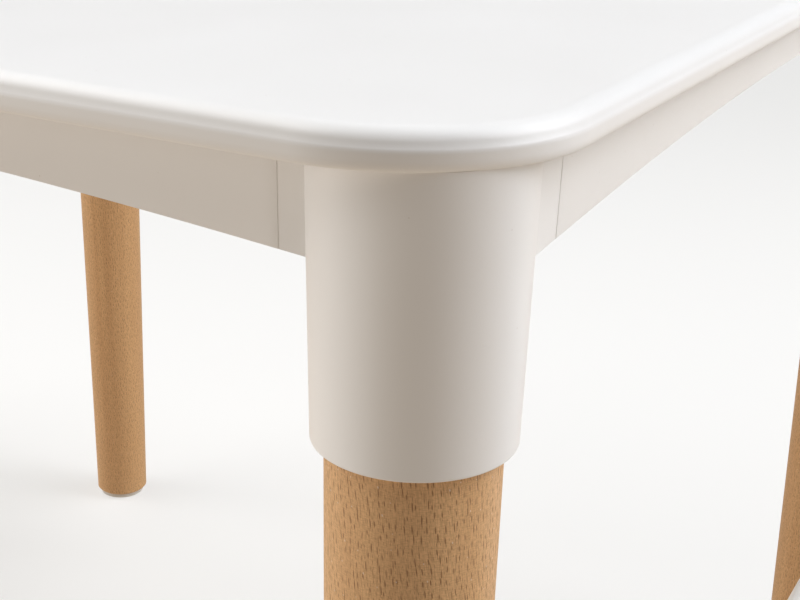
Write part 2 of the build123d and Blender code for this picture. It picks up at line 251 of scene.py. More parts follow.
class Finish(Tree):
    """A material whose Principled shader is fed by expressions."""

    def __init__(self, name, **constants):
        self.material = bpy.data.materials.new(name)
        self.material.use_nodes = True
        tree = self.material.node_tree
        super().__init__(tree.nodes, tree.links)
        self.shader = tree.nodes["Principled BSDF"]
        self.place = self.node("ShaderNodeTexCoord", output="Object")
        for label, value in constants.items():
            self.shader.inputs[label.replace("_", " ")].default_value = value

    def stretched(self, cell, place=None):
        """Coordinates measured in cells of the given size, in metres."""
        return self.vector_math("MULTIPLY", place or self.place, tuple(1 / side for side in cell))

    def noise(self, cell, detail=2.0, seed=0.0, place=None):
        sockets = {"Vector": self.stretched(cell, place), "W": seed, "Scale": 1.0, "Detail": detail}
        return self.node("ShaderNodeTexNoise", {"noise_dimensions": "4D"}, sockets, "Fac")

    def blend(self, share, first, second):
        sockets = {0: share, 6: first, 7: second}
        return self.node("ShaderNodeMix", {"data_type": "RGBA"}, sockets, 2)

    def voronoi(self, vector, dimensions="3D", randomness=1.0):
        """Its Color output, one random colour for each cell. `also` reaches the other outputs."""
        sockets = {"Vector": vector, "Scale": 1.0, "Randomness": randomness}
        return self.node("ShaderNodeTexVoronoi", {"voronoi_dimensions": dimensions}, sockets, "Color")

    def bump(self, height, distance):
        return self.node("ShaderNodeBump", None, {"Height": height, "Distance": distance, "Strength": 1.0})

    def wear(self, **results):
        for label, value in results.items():
            self.feed(self.shader.inputs[label.replace("_", " ")], value)
        return self.material


def paint(red, green, blue):
    return (red, green, blue, 1.0)


print("a paint is four numbers, such as", paint(1, 1, 1))

# %% [markdown]
# ### White moulded plastic
# The top, aprons, sockets and seats are polypropylene: nearly white, a little warm, with a satin skin.
# The skin has a very fine tool texture, faint slow unevenness from cooling, and a few dust specks.
# Noise makes the first two. A Voronoi cell holds at most one speck, and few cells are picked.

# %% White plastic
WHITE_LOW, WHITE_HIGH = paint(0.830, 0.822, 0.806), paint(0.855, 0.849, 0.836)
SPECK_TONE = paint(0.42, 0.36, 0.30)
TEXTURE_CELL, SLOW_CELL, SPECK_CELL = 0.45 * MM, 38 * MM, 6 * MM
EMPTY_SHARE = 0.55          # the share of cells that hold no speck


def white_plastic():
    f = Finish("white_moulded_plastic", Roughness=0.36, Coat_Weight=0.0)
    texture = f.noise((TEXTURE_CELL,) * 3, detail=3.0)
    slow = f.noise((SLOW_CELL,) * 3, detail=1.0, seed=4.0)
    lot = f.voronoi(f.stretched((SPECK_CELL,) * 3))
    near = f.step(f.also(lot, "Distance"), 0.040, 0.024)
    speck = near * (f.part(lot, "X") > EMPTY_SHARE)
    tone = f.blend(slow, WHITE_LOW, WHITE_HIGH)
    colour = f.blend(speck * 0.35, tone, SPECK_TONE)
    rough = 0.34 + 0.05 * texture + 0.04 * slow
    return f.wear(Base_Color=colour, Roughness=rough,
                  Normal=f.bump(texture * 0.6 + slow * 4.0, 0.012 * MM))


plastic = white_plastic()
print("made", plastic.name)

# %% [markdown]
# ### Beech
# Steamed beech is warm tan and full of short dark flecks, the ends of its rays. They are 1.5 to 3 mm
# long and about 0.3 mm wide, and stand in loose columns along the grain, all round a turned leg. So
# the pattern is drawn on the leg's unrolled surface. Each leg carries an attribute, from_axis, with
# every point's place from the leg's own axis, and the angle round the axis becomes a length. A
# Voronoi cell holds one fleck. Finer noise adds fibres, ripples across them and growth bands.

# %% Beech
UNROLL_R = 20.0 * MM        # an angle round the leg becomes a length at this radius
SLANT = 0.09                # how far the grain moves sideways for each metre along the leg
LATE_WOOD, EARLY_WOOD = paint(0.640, 0.365, 0.165), paint(0.880, 0.570, 0.285)
FIBRE_TONE, FLECK_TONE = paint(0.430, 0.235, 0.100), paint(0.210, 0.088, 0.028)
DOT_TONE = paint(0.86, 0.76, 0.62)


def beech_wood():
    f = Finish("beech", Coat_Weight=0.10, Coat_Roughness=0.35)
    spot = f.node("ShaderNodeAttribute", {"attribute_name": "from_axis"}, output="Vector")
    along = f.part(spot, "Z")
    around = f.math("ARCTAN2", f.part(spot, "Y"), f.part(spot, "X")) * UNROLL_R
    drift = f.noise((12 * MM, 12 * MM, 28 * MM), 1.0, 2.0, spot)
    across = around + along * SLANT + drift * 3.0 * MM

    def flecks(cell_w, cell_h, half_w, half_l, seed):
        """An oval of half_w by half_l in each cell. Some cells hold a long one, some a faint one."""
        here = f.combine(across * (1 / cell_w) + seed, along * (1 / cell_h) + seed)
        lot = f.voronoi(here, "2D", 0.75)
        away = f.vector_math("SUBTRACT", here, f.also(lot, "Position"))
        narrow = f.part(away, "X") * (cell_w / half_w)
        short = f.part(away, "Y") * (cell_h / half_l) / (0.6 + 0.8 * f.part(lot, "X"))
        shape = f.vector_math("LENGTH", f.combine(narrow, short), output="Value")
        return f.step(shape, 1.15, 0.45) * f.step(f.part(lot, "Y"), -0.2, 0.5)

    def grain(cell_w, cell_h, detail, seed):
        return f.noise((cell_w, cell_h, 1.0), detail, seed, f.combine(across, along))

    long_flecks = flecks(1.7 * MM, 3.0 * MM, 0.17 * MM, 1.25 * MM, 0.0)
    fine_flecks = flecks(0.9 * MM, 1.8 * MM, 0.10 * MM, 0.60 * MM, 7.3)
    pale_dots = flecks(5.0 * MM, 8.0 * MM, 0.16 * MM, 0.30 * MM, 3.1)
    fibre = grain(0.20 * MM, 4.0 * MM, 3.0, 1.0)
    ripple = grain(1.3 * MM, 0.34 * MM, 2.0, 6.0)
    bands = f.noise((4.5 * MM, 16 * MM, 160 * MM), 2.0, 5.0, spot)
    wood = f.blend(bands, LATE_WOOD, EARLY_WOOD)
    wood = f.blend(f.step(fibre, 0.60, 0.36) * 0.50, wood, FIBRE_TONE)
    wood = f.blend(f.step(ripple, 0.56, 0.40) * 0.35, wood, FIBRE_TONE)
    marks = f.math("MAXIMUM", long_flecks, fine_flecks * 0.6)
    wood = f.blend(marks * 0.75, wood, FLECK_TONE)
    wood = f.blend((pale_dots > 0.4) * 0.6, wood, DOT_TONE)
    relief = fibre * 0.4 + ripple * 0.4 - marks
    return f.wear(Base_Color=wood, Roughness=0.42 + 0.14 * fibre + 0.2 * marks,
                  Normal=f.bump(relief, 0.05 * MM))


beech = beech_wood()
print("made", beech.name)

# %% [markdown]
# ### Metal and the foot plastic
# The screws, bolts and nails are zinc plated steel, and the inserts are turned brass. Both get fine
# noise in their roughness, which is what plating and machining look like up close. The glides are a
# plain matt plastic that dulls as it wears.

# %% Metals and glide plastic


def plated(name, dark, light, roughness):
    f = Finish(name, Metallic=1.0)
    grain = f.noise((0.6 * MM,) * 3, detail=4.0)
    cloud = f.noise((4 * MM,) * 3, detail=2.0, seed=3.0)
    return f.wear(Base_Color=f.blend(cloud, dark, light), Roughness=roughness + 0.16 * grain,
                  Normal=f.bump(grain, 0.01 * MM))


def matt_plastic():
    f = Finish("glide_plastic", Roughness=0.6)
    scuff = f.noise((0.8 * MM,) * 3, detail=4.0)
    tone = f.blend(scuff, paint(0.62, 0.60, 0.56), paint(0.74, 0.73, 0.70))
    return f.wear(Base_Color=tone, Roughness=0.5 + 0.25 * scuff, Normal=f.bump(scuff, 0.04 * MM))


steel = plated("zinc_plated_steel", paint(0.56, 0.57, 0.60), paint(0.74, 0.75, 0.77), 0.26)
brass = plated("turned_brass", paint(0.64, 0.48, 0.22), paint(0.80, 0.63, 0.34), 0.24)
glide_plastic = matt_plastic()
print("made", steel.name, brass.name, glide_plastic.name)

# %% [markdown]
# ## Helpers for meshes
# `add_piece` turns points and faces into an object at the origin, merges doubles and makes every face
# point outwards. `round_edges` puts a small bevel on it. Edges that still bend sharply stay crisp, and
# the rest is shaded smooth.

# %% Mesh helpers
SMOOTH_ANGLE = math.radians(32)
BEVEL_ANGLE = math.radians(35)
DOUBLES = 0.002 * MM


def add_piece(name, parts):
    """parts is a list of (points, faces), each a closed shell."""
    shape = bmesh.new()
    for points, faces in parts:
        corners = [shape.verts.new(p) for p in points]
        for face in faces:
            shape.faces.new([corners[i] for i in face])
    bmesh.ops.remove_doubles(shape, verts=shape.verts, dist=DOUBLES)
    bmesh.ops.recalc_face_normals(shape, faces=shape.faces)
    mesh = bpy.data.meshes.new(name)
    shape.to_mesh(mesh)
    shape.free()
    piece = bpy.data.objects.new(name, mesh)
    scene.collection.objects.link(piece)
    return piece


def keep_modifiers(piece):
    """Turns a piece and its modifiers into a plain mesh."""
    done = bpy.data.meshes.new_from_object(piece.evaluated_get(bpy.context.evaluated_depsgraph_get()))
    piece.modifiers.clear()
    piece.data = done
    return piece


def round_edges(piece, width, segments=3):
    bevel = piece.modifiers.new("rounding", "BEVEL")
    bevel.width = width
    bevel.segments = segments
    bevel.limit_method = "ANGLE"
    bevel.angle_limit = BEVEL_ANGLE
    return keep_modifiers(piece)


def shade(piece):
    """Smooth faces, with sharp edges where the surface turns by more than SMOOTH_ANGLE."""
    shape = bmesh.new()
    shape.from_mesh(piece.data)
    for face in shape.faces:
        face.smooth = True
    for edge in shape.edges:
        edge.smooth = edge.calc_face_angle(math.pi) < SMOOTH_ANGLE
    shape.to_mesh(piece.data)
    shape.free()


def settle(piece, body, material, slot, *nodes):
    """Gives a finished piece its smooth shading, its material and its body, and hides the imported parts
    that it stands for.
    """
    shade(piece)
    piece.data.materials.clear()
    piece.data.materials.append(material)
    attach(piece, body)
    if nodes:
        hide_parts(*nodes)
    return piece


print("edges stay sharp from", round(math.degrees(SMOOTH_ANGLE)), "degrees")

# %% [markdown]
# ## Moulded slabs
# The table top and the seats share one edge. From above: a flat face, a soft shoulder like a quarter
# ellipse, a thin bead where the two halves of the mould met, an upright band, and a lower lip that
# curves in. Rings of points follow the outline, one ring for each step of this edge, and shrink
# towards the middle to close the faces.

# %% Outline and edge profile
SHOULDER_W, SHOULDER_R, SHOULDER_H = 5.6 * MM, 5.0 * MM, 4.3 * MM
SHOULDER_END = 164.4        # degrees round the shoulder's ellipse, where the bead cuts it
CREASE_RISE = 4.2 * MM      # from the lip's lower edge to the middle of the bead
BEAD_R, BEAD_START = 2.4 * MM, 147.0
CURL_IN, CURL_W, CURL_H = 0.05 * MM, 1.30 * MM, 2.8 * MM
RIM_W, PLATE_INSET = 8.2 * MM, 8.6 * MM


def rounded_square(half, radius, arc_steps=28, side_steps=8):
    """(point, outward direction) pairs, anticlockwise from the right side."""
    outline = []
    for quarter in range(4):
        spin = Matrix.Rotation(quarter * math.pi / 2, 2)
        start = spin @ Vector((half, -(half - radius)))
        for step in range(side_steps):
            along = 2 * (half - radius) * step / side_steps
            outline.append((start + spin @ Vector((0, along)), spin @ Vector((1, 0))))
        for step in range(arc_steps):
            angle = step / arc_steps * math.pi / 2
            way = spin @ Vector((math.cos(angle), math.sin(angle)))
            outline.append((spin @ Vector((half - radius, half - radius)) + way * radius, way))
    return outline


def arc(centre_x, centre_y, radius_x, radius_y, first, last, steps):
    """Points on part of an ellipse, angles in degrees."""
    angles = [math.radians(first + (last - first) * i / steps) for i in range(steps + 1)]
    return [(centre_x + radius_x * math.cos(a), centre_y + radius_y * math.sin(a)) for a in angles]


def slab_edge(top_z, plate_depth):
    """(inset, height) steps of the shared edge, from the top face round to the plate's underside."""
    low = top_z - LIP_DEPTH
    shoulder = arc(SHOULDER_W, top_z - SHOULDER_H, SHOULDER_R, SHOULDER_H, 90, SHOULDER_END, 14)
    bead = arc(BEAD_R, low + CREASE_RISE, BEAD_R, BEAD_R, BEAD_START, 180, 8)
    curl = arc(CURL_IN + CURL_W, low + CURL_H, CURL_W, CURL_H, 180, 270, 12)
    inner = [(RIM_W, low), (PLATE_INSET, low + 0.5 * MM), (PLATE_INSET, top_z - plate_depth)]
    return shoulder + bead + curl + inner


print("the edge has", len(slab_edge(table_z, 5 * MM)), "steps")

# %% [markdown]
# ### From an edge to a slab
# Each step of the edge gives a ring of points, moved in from the outline. The flat faces get smaller
# rings of the same shape, which leaves points to bend: a seat sinks them for its hollow.

# %% Slab builder


def slab_shell(outline, edge, shrink, bend=lambda p: p):
    """A closed shell from an outline and its edge steps. shrink lists the sizes of the inner rings."""
    count = len(outline)

    def ring(inset, height, size=1.0):
        return [bend(Vector((*((p - way * inset) * size), height))) for p, way in outline]

    first, last = edge[0], edge[-1]
    rings = [ring(*first, size) for size in reversed(shrink)]
    rings += [ring(*step) for step in edge]
    rings += [ring(*last, size) for size in shrink]
    points = [p for r in rings for p in r]
    faces = []
    for row in range(len(rings) - 1):
        here, below = row * count, (row + 1) * count
        for i in range(count):
            j = (i + 1) % count
            faces.append((here + i, below + i, below + j, here + j))
    for start, height in ((0, first[1]), ((len(rings) - 1) * count, last[1])):
        pole = len(points)
        points.append(bend(Vector((0, 0, height))))
        faces += [(pole, start + i, start + (i + 1) % count) for i in range(count)]
    return points, faces


print("a slab has two faces and", len(slab_edge(table_z, 5 * MM)) - 1, "bands")

# %% [markdown]
# ## Upright panels
# Aprons, the short wings on the sockets and the skirts under the seats are the same thing: a thin upright
# panel that leans in a little towards the bottom, with a lower edge that is part of a large circle. The
# sections are placed along the panel. Only the aprons get a bevel, later, that rounds their edges.

# %% Panel builder


def arched_panel(x_low, x_high, face, thick, top, corner, arch, lean=1.5, steps=60):
    """A panel that faces -Y. corner is (distance from the middle, height) of the arch's ends."""
    reach, corner_z = corner
    radius = (reach ** 2 + arch ** 2) / (2 * arch)
    centre_z = corner_z + arch - radius
    slope = math.tan(math.radians(lean))
    points = []
    for step in range(steps + 1):
        x = x_low + (x_high - x_low) * step / steps
        low = centre_z + math.sqrt(radius ** 2 - x ** 2)
        shift = (top - low) * slope
        back = face + thick
        points += [(x, face, top), (x, face + shift, low), (x, back + shift, low), (x, back, top)]
    faces = [(3, 2, 1, 0), tuple(steps * 4 + i for i in range(4))]
    for step in range(steps):
        here, there = step * 4, step * 4 + 4
        for i in range(4):
            j = (i + 1) % 4
            faces.append((here + i, here + j, there + j, there + i))
    return points, faces


def bar(low, high):
    """A box between two corners."""
    points = [(x, y, z) for x in (low[0], high[0]) for y in (low[1], high[1]) for z in (low[2], high[2])]
    faces = [(0, 1, 3, 2), (4, 6, 7, 5), (0, 4, 5, 1), (2, 3, 7, 6), (0, 2, 6, 4), (1, 5, 7, 3)]
    return points, faces


def moved(shell, matrix):
    points, faces = shell
    return [matrix @ Vector(p) for p in points], faces


print("a bar has", len(bar((0, 0, 0), (1, 1, 1))[1]), "faces")

# %% [markdown]
# ## Turned shapes
# Sockets, bosses and glides are round about an upright axis. A profile of (radius, height) steps goes
# round in a circle, and a radius of 0 closes it at a pole.

# %% Lathe


def lathe(profile, centre, segments=128):
    points, rows = [], []
    for radius, height in profile:
        if radius == 0:
            rows.append([len(points)] * segments)
            points.append(Vector((centre.x, centre.y, height)))
            continue
        rows.append(list(range(len(points), len(points) + segments)))
        for i in range(segments):
            angle = 2 * math.pi * i / segments
            out_x, out_y = radius * math.cos(angle), radius * math.sin(angle)
            points.append(Vector((centre.x + out_x, centre.y + out_y, height)))
    faces = []
    for a, b in zip(rows, rows[1:] + rows[:1]):
        for i in range(segments):
            j = (i + 1) % segments
            face = list(dict.fromkeys((a[i], b[i], b[j], a[j])))
            if len(face) > 2:
                faces.append(tuple(face))
    return points, faces


def boss(radius, top, low, centre):
    """A solid round block under a moulding. It starts 1 mm inside the plate, so that they hold together."""
    return lathe([(0, top + 1 * MM), (radius, top + 1 * MM), (radius, low), (0, low)], centre, 64)


print("a boss has", len(boss(1, 1, 0, Vector((0, 0, 0)))[1]), "faces")

# %% [markdown]
# ## Table top
# The real top is one moulding, 5 mm thick inside its rim. Under it stand four bosses for the leg
# sockets and a grid of ribs that keeps it flat. The top is built here, and the ribs below.

# %% Table top
PLATE_T = 5.0 * MM
TABLE_CORNER_R = 50.0 * MM
plate_z = table_z - PLATE_T
socket_centres = {name: middle(f"table_leg_{name}") for name in CORNERS}
BOSS_R = 26.0 * MM

SHRINK = [0.985, 0.93, 0.8, 0.6, 0.35, 0.12]
top_shell = slab_shell(rounded_square(table_half, TABLE_CORNER_R), slab_edge(table_z, PLATE_T), SHRINK)
bosses = [boss(BOSS_R, plate_z, lip_z, c) for c in socket_centres.values()]
table_top = add_piece("table_top_moulding", [top_shell, *bosses])
settle(table_top, "table", plastic, "white_plastic", "table_top")
print("table top:", len(table_top.data.polygons), "faces")

# %% [markdown]
# ## Recipes: Geometry Nodes trees with named inputs
# Ribs, screws and legs repeat, so each is a recipe: a tree that is built once and run with its own
# sizes. `grow` runs a recipe on a set of points and keeps the result as a plain mesh.

# %% Recipe and grow
TOUCHING = 0.01 * MM


class Recipe(Tree):
    """A Geometry Nodes tree. Its inputs are given as label=default."""

    def __init__(self, name, **inputs):
        self.group = bpy.data.node_groups.new(name, "GeometryNodeTree")
        super().__init__(self.group.nodes, self.group.links)
        face = self.group.interface
        face.new_socket("Points", in_out="INPUT", socket_type="NodeSocketGeometry")
        for label, value in inputs.items():
            socket = face.new_socket(label, in_out="INPUT", socket_type="NodeSocketFloat")
            socket.default_value = value
        face.new_socket("Mesh", in_out="OUTPUT", socket_type="NodeSocketGeometry")
        self.source = self.nodes.new("NodeGroupInput")

    def given(self, label):
        return Flow(self, self.source.outputs[label])

    def place(self, geometry, offset=(0, 0, 0), rotation=(0, 0, 0)):
        sockets = {"Geometry": geometry, "Translation": offset, "Rotation": rotation}
        return self.node("GeometryNodeTransform", None, sockets)

    def up(self, height):
        return self.combine(z=height)

    def cone(self, low, high, height, sides, closed=True, rows=1):
        fill = {"fill_type": "NGON" if closed else "NONE"}
        sockets = {"Vertices": sides, "Side Segments": rows, "Radius Top": high, "Radius Bottom": low,
                   "Depth": height}
        return self.node("GeometryNodeMeshCone", fill, sockets)

    def disc(self, radius, sides, facing_up=True):
        sockets = {"Vertices": sides, "Radius": radius}
        made = self.node("GeometryNodeMeshCircle", {"fill_type": "NGON"}, sockets)
        return made if facing_up else self.node("GeometryNodeFlipFaces", None, {"Mesh": made})

    def box(self, x, y, z):
        return self.node("GeometryNodeMeshCube", None, {"Size": self.combine(x, y, z)})

    def welded(self, *parts):
        """Joins parts and merges the points where they touch."""
        sockets = {"Geometry": self.join(*parts), "Distance": TOUCHING}
        return self.node("GeometryNodeMergeByDistance", None, sockets)

    def join(self, *parts):
        joined = self.nodes.new("GeometryNodeJoinGeometry")
        for part in reversed(parts):
            self.links.new(part.socket, joined.inputs[0])
        return Flow(self, joined.outputs[0])

    def boolean(self, operation, first, second):
        made = self.nodes.new("GeometryNodeMeshBoolean")
        made.operation = operation
        made.solver = "EXACT"
        if operation == "DIFFERENCE":
            self.links.new(first.socket, made.inputs["Mesh 1"])
            self.links.new(second.socket, made.inputs["Mesh 2"])
        else:
            self.links.new(first.socket, made.inputs["Mesh 2"])
            self.links.new(second.socket, made.inputs["Mesh 2"])
        return Flow(self, made.outputs["Mesh"])

    def scatter(self, shape):
        sockets = {"Points": self.given("Points"), "Instance": shape}
        return self.node("GeometryNodeInstanceOnPoints", None, sockets)

    def end(self, geometry, material):
        plain = self.node("GeometryNodeRealizeInstances", None, {"Geometry": geometry})
        dressed = self.node("GeometryNodeSetMaterial", None, {"Geometry": plain, "Material": material})
        sink = self.nodes.new("NodeGroupOutput")
        self.links.new(dressed.socket, sink.inputs["Mesh"])
        return self


def grow(recipe, name, points, **values):
    """Runs a recipe on some points and keeps the result as a plain mesh."""
    mesh = bpy.data.meshes.new(name)
    mesh.from_pydata([tuple(p) for p in points], [], [])
    piece = bpy.data.objects.new(name, mesh)
    scene.collection.objects.link(piece)
    runner = piece.modifiers.new("recipe", "NODES")
    runner.node_group = recipe.group
    for item in recipe.group.interface.items_tree:
        if item.in_out == "INPUT" and item.name in values:
            runner[item.identifier] = values[item.name]
    return keep_modifiers(piece)


print("parts of a recipe closer than", TOUCHING, "m are welded")

# %% [markdown]
# ### Ribs under the top
# One rib is a box. The recipe stands copies of it on the points, turns the same row by a quarter, and
# fuses both rows into one grid with a union, so that no wall is hidden inside another.

# %% Rib recipe
RIB_PITCH, RIB_LENGTH, RIB_T = 88.0 * MM, 504.0 * MM, 2.4 * MM
RIB_INTO_PLATE = 0.5 * MM


def rib_recipe():
    r = Recipe("top_ribs", Length=RIB_LENGTH, Thickness=RIB_T, Depth=0.011)
    rib = r.box(r.given("Thickness"), r.given("Length"), r.given("Depth"))
    row = r.node("GeometryNodeRealizeInstances", None, {"Geometry": r.scatter(rib)})
    across = r.place(row, rotation=(0, 0, math.pi / 2))
    return r.end(r.boolean("UNION", row, across), plastic)


rib_depth = plate_z - top_low.z
rib_depth += RIB_INTO_PLATE
rib_points = [(RIB_PITCH * i, 0, top_low.z + rib_depth / 2) for i in range(-2, 3)]
ribs = grow(rib_recipe(), "table_top_ribs", rib_points, Length=RIB_LENGTH, Depth=rib_depth)
round_edges(ribs, 0.4 * MM, 2)
settle(ribs, "table", plastic, "white_plastic")
print("ribs:", len(ribs.data.polygons), "faces")

# %% [markdown]
# ## Aprons
# Each apron is an arched panel with a flange at its top, screwed to the underside of the top.

# %% Aprons
APRON_T = 3.0 * MM
APRON_ARCH = 12.3 * MM
APRON_DROP = 31.8 * MM      # from the lip down to the arch's ends, on the legs' axes
APRON_EDGE_R = 0.12 * MM
FLANGE_T = 3.0 * MM
FLANGE_W = 14.0 * MM
FLANGE_SHORT = 18.0 * MM
APRON_TURNS = {"apron_front": 0, "apron_right": 90, "apron_back": 180, "apron_left": 270}
leg_at = socket_centres["front_right"].x
apron_low, apron_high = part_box("apron_front")
seam_at = apron_high.x
apron_corner = (leg_at, lip_z - APRON_DROP)
front_face, side_face = apron_low.y, -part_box("apron_right")[1].x
apron_faces = {0: front_face, 90: side_face, 180: front_face, 270: side_face}


def about_z(degrees, place=(0, 0, 0)):
    return Matrix.Translation(place) @ Matrix.Rotation(math.radians(degrees), 4, "Z")


for node, turn_z in APRON_TURNS.items():
    face = apron_faces[turn_z]
    inner = face + APRON_T
    panel = arched_panel(-seam_at, seam_at, face, APRON_T, plate_z, apron_corner, APRON_ARCH, steps=120)
    flange = bar((-seam_at + FLANGE_SHORT, inner - 1 * MM, plate_z - FLANGE_T),
                 (seam_at - FLANGE_SHORT, inner + FLANGE_W, plate_z))
    apron = add_piece(node + "_panel", [moved(s, about_z(turn_z)) for s in (panel, flange)])
    round_edges(apron, APRON_EDGE_R, 3)
    settle(apron, "table", plastic, "white_plastic", node)
print("aprons:", len(APRON_TURNS))

# %% [markdown]
# ## Leg sockets
# A socket is a tapered cup. Its mouth is rounded inside and out by 0.8 mm, and that thin round
# is what catches light from the floor. A table socket also has two wings that carry on the line
# of the aprons. They end inside the wall of the cup.

# %% Sockets
MOUTH_EDGE_R = 0.8 * MM
INSERT_HOLE_R, INSERT_HOLE_DEPTH = 6.0 * MM, 10.0 * MM


def cup_profile(top, mouth, bore_r, cap_z):
    """top and mouth are (radius, height) of the outside. The insert's hole is in the cap."""
    mouth_r, round_z = mouth[0], mouth[1] + MOUTH_EDGE_R
    outer = arc(mouth_r - MOUTH_EDGE_R, round_z, MOUTH_EDGE_R, MOUTH_EDGE_R, 0, -90, 6)
    inner = arc(bore_r + MOUTH_EDGE_R, round_z, MOUTH_EDGE_R, MOUTH_EDGE_R, 270, 180, 6)
    hole_top = cap_z + INSERT_HOLE_DEPTH
    cap = [(bore_r, cap_z), (INSERT_HOLE_R, cap_z), (INSERT_HOLE_R, hole_top), (0, hole_top)]
    return [(0, top[1]), (top[0], top[1]), *outer, *inner, *cap]


SOCKET_BORE_R = 22.6 * MM
SOCKET_CAP_T = 12.0 * MM
SOCKET_TOP_R, SOCKET_MOUTH_R = 27.7 * MM, 26.0 * MM
WING_STEP = 0.15 * MM
WING_LENGTH = 17.0 * MM
SEAM_GAP = 0.02 * MM
mouth_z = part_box("table_socket_front_right")[0].z
wing_start = seam_at + SEAM_GAP

profile = cup_profile((SOCKET_TOP_R, lip_z), (SOCKET_MOUTH_R, mouth_z), SOCKET_BORE_R, lip_z - SOCKET_CAP_T)
for name, centre in socket_centres.items():
    side_x, side_y = (1 if v > 0 else -1 for v in (centre.x, centre.y))
    shells = [lathe(profile, centre)]
    wings = ((0 if side_y < 0 else 180, side_x * -side_y), (90 if side_x > 0 else 270, side_y * side_x))
    for turn_z, flip in wings:
        ends = sorted((flip * wing_start, flip * (wing_start + WING_LENGTH)))
        face = apron_faces[turn_z] + WING_STEP
        wing = arched_panel(*ends, face, APRON_T, plate_z, apron_corner, APRON_ARCH, steps=8)
        shells.append(moved(wing, about_z(turn_z)))
    cup = add_piece(f"table_socket_cup_{name}", shells)
    settle(cup, "table", plastic, "white_plastic", f"table_socket_{name}")
print("table sockets:", len(socket_centres))

# %% [markdown]
# ## Beech legs
# A leg is turned on a lathe: a long taper, a small chamfer at the foot, and a straight end that fills
# its socket. The recipe stacks open cones, closes the ends, and drills the bolt's hole and the nail's
# hole. The taper has many rows, so that its shading stays even. It also stores from_axis for the
# grain, moved up or down by a shift of its own, so that no two legs look the same.

# %% Leg recipe
BOLT_R = 4.0 * MM
BOLT_DEPTH = 38.0 * MM
NAIL_R = 1.1 * MM
NAIL_DEPTH = 5.5 * MM
LEG_SIDES = 96
LEG_FOOT_R, LEG_MOUTH_R = 18.5 * MM, 22.5 * MM


def leg_recipe():
    r = Recipe("turned_leg", Foot_radius=LEG_FOOT_R, Mouth_radius=LEG_MOUTH_R, Foot_height=0.0035,
               Mouth_height=0.396, End_height=0.455, Chamfer=0.0015, Grain_shift=0.0)
    foot_r, mouth_r = r.given("Foot_radius"), r.given("Mouth_radius")
    foot_z, mouth_z, end_z = r.given("Foot_height"), r.given("Mouth_height"), r.given("End_height")
    chamfer = r.given("Chamfer")
    lower = r.cone(foot_r - chamfer, foot_r, chamfer, LEG_SIDES, closed=False)
    shank = r.cone(foot_r, mouth_r, mouth_z - foot_z - chamfer, LEG_SIDES, closed=False, rows=48)
    tenon = r.cone(mouth_r, mouth_r, end_z - mouth_z - chamfer, LEG_SIDES, closed=False, rows=6)
    upper = r.cone(mouth_r, mouth_r - chamfer, chamfer, LEG_SIDES, closed=False)
    foot_cap = r.disc(foot_r - chamfer, LEG_SIDES, facing_up=False)
    end_cap = r.disc(mouth_r - chamfer, LEG_SIDES)
    blank = r.welded(r.place(lower, r.up(foot_z)), r.place(shank, r.up(foot_z + chamfer)),
                     r.place(tenon, r.up(mouth_z)), r.place(upper, r.up(end_z - chamfer)),
                     r.place(foot_cap, r.up(foot_z)), r.place(end_cap, r.up(end_z)))
    bolt_hole = r.place(r.cone(BOLT_R, BOLT_R, 50 * MM, 32), r.up(end_z - BOLT_DEPTH))
    nail_hole = r.place(r.cone(NAIL_R, NAIL_R, 20 * MM, 16), r.up(foot_z - NAIL_DEPTH))
    drilled = r.boolean("DIFFERENCE", blank, r.join(bolt_hole, nail_hole))
    place = r.vector_math("ADD", r.node("GeometryNodeInputPosition"), r.up(r.given("Grain_shift")))
    marked = r.node("GeometryNodeStoreNamedAttribute", {"data_type": "FLOAT_VECTOR", "domain": "POINT"},
                    {"Geometry": drilled, "Name": "from_axis", "Value": place})
    return r.end(r.scatter(marked), beech)


turned_leg = leg_recipe()


def make_leg(node, body, foot_r, mouth_r, mouth_height):
    low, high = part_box(node)
    centre = (low + high) / 2
    shift = centre.x * 7.0 + centre.y * 3.0        # every leg is cut from another stretch of wood
    leg = grow(turned_leg, node.replace("_leg", "_beech_leg"), [(centre.x, centre.y, 0)],
               Foot_radius=foot_r, Mouth_radius=mouth_r, Foot_height=low.z, Mouth_height=mouth_height,
               End_height=high.z, Grain_shift=shift)
    return settle(leg, body, beech, "beech", node)


for name in CORNERS:
    make_leg(f"table_leg_{name}", "table", LEG_FOOT_R, LEG_MOUTH_R, mouth_z)
print("table legs:", len(CORNERS))

# %% [markdown]
# ## Foot glides
# A glide is a small round pad with a rounded lower rim and a recess for its nail.

# %% Glides


def make_glide(node, body):
    low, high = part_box(node)
    radius, thick = (high.x - low.x) / 2, high.z
    recess_r, recess_top = 3.2 * MM, thick - 1.5 * MM
    rim = arc(radius - 1 * MM, 1 * MM, 1 * MM, 1 * MM, 0, -90, 6)
    profile = [(NAIL_R, thick), (radius - 0.3 * MM, thick), (radius, thick - 0.3 * MM), *rim,
               (recess_r + 0.2 * MM, 0), (recess_r, 0.2 * MM), (recess_r, recess_top), (NAIL_R, recess_top)]
    pad = add_piece(node.replace("_glide", "_foot_glide"), [lathe(profile, (low + high) / 2, 64)])
    return settle(pad, body, glide_plastic, "glide_plastic", node)


for name in CORNERS:
    make_glide(f"table_glide_{name}", "table")
print("table glides:", len(CORNERS))

# %% [markdown]
# ## Cross recess screws
# Pan head screws hold the aprons and the sockets. The head is two stacked cones with a cross cut into
# it, the shank is a plain rod, and the recipe puts one on each point, head downwards.

# %% Screw recipe
HEAD_SIDES = 32
COLLAR_SHARE, FACE_SHARE, SLOT_SHARE = 0.4, 0.66, 0.26
APRON_SCREW_AT, APRON_SCREW_REACH = 180 * MM, 6 * MM
TABLE_RING_R, TABLE_SCREW_REACH = 15 * MM, 18 * MM


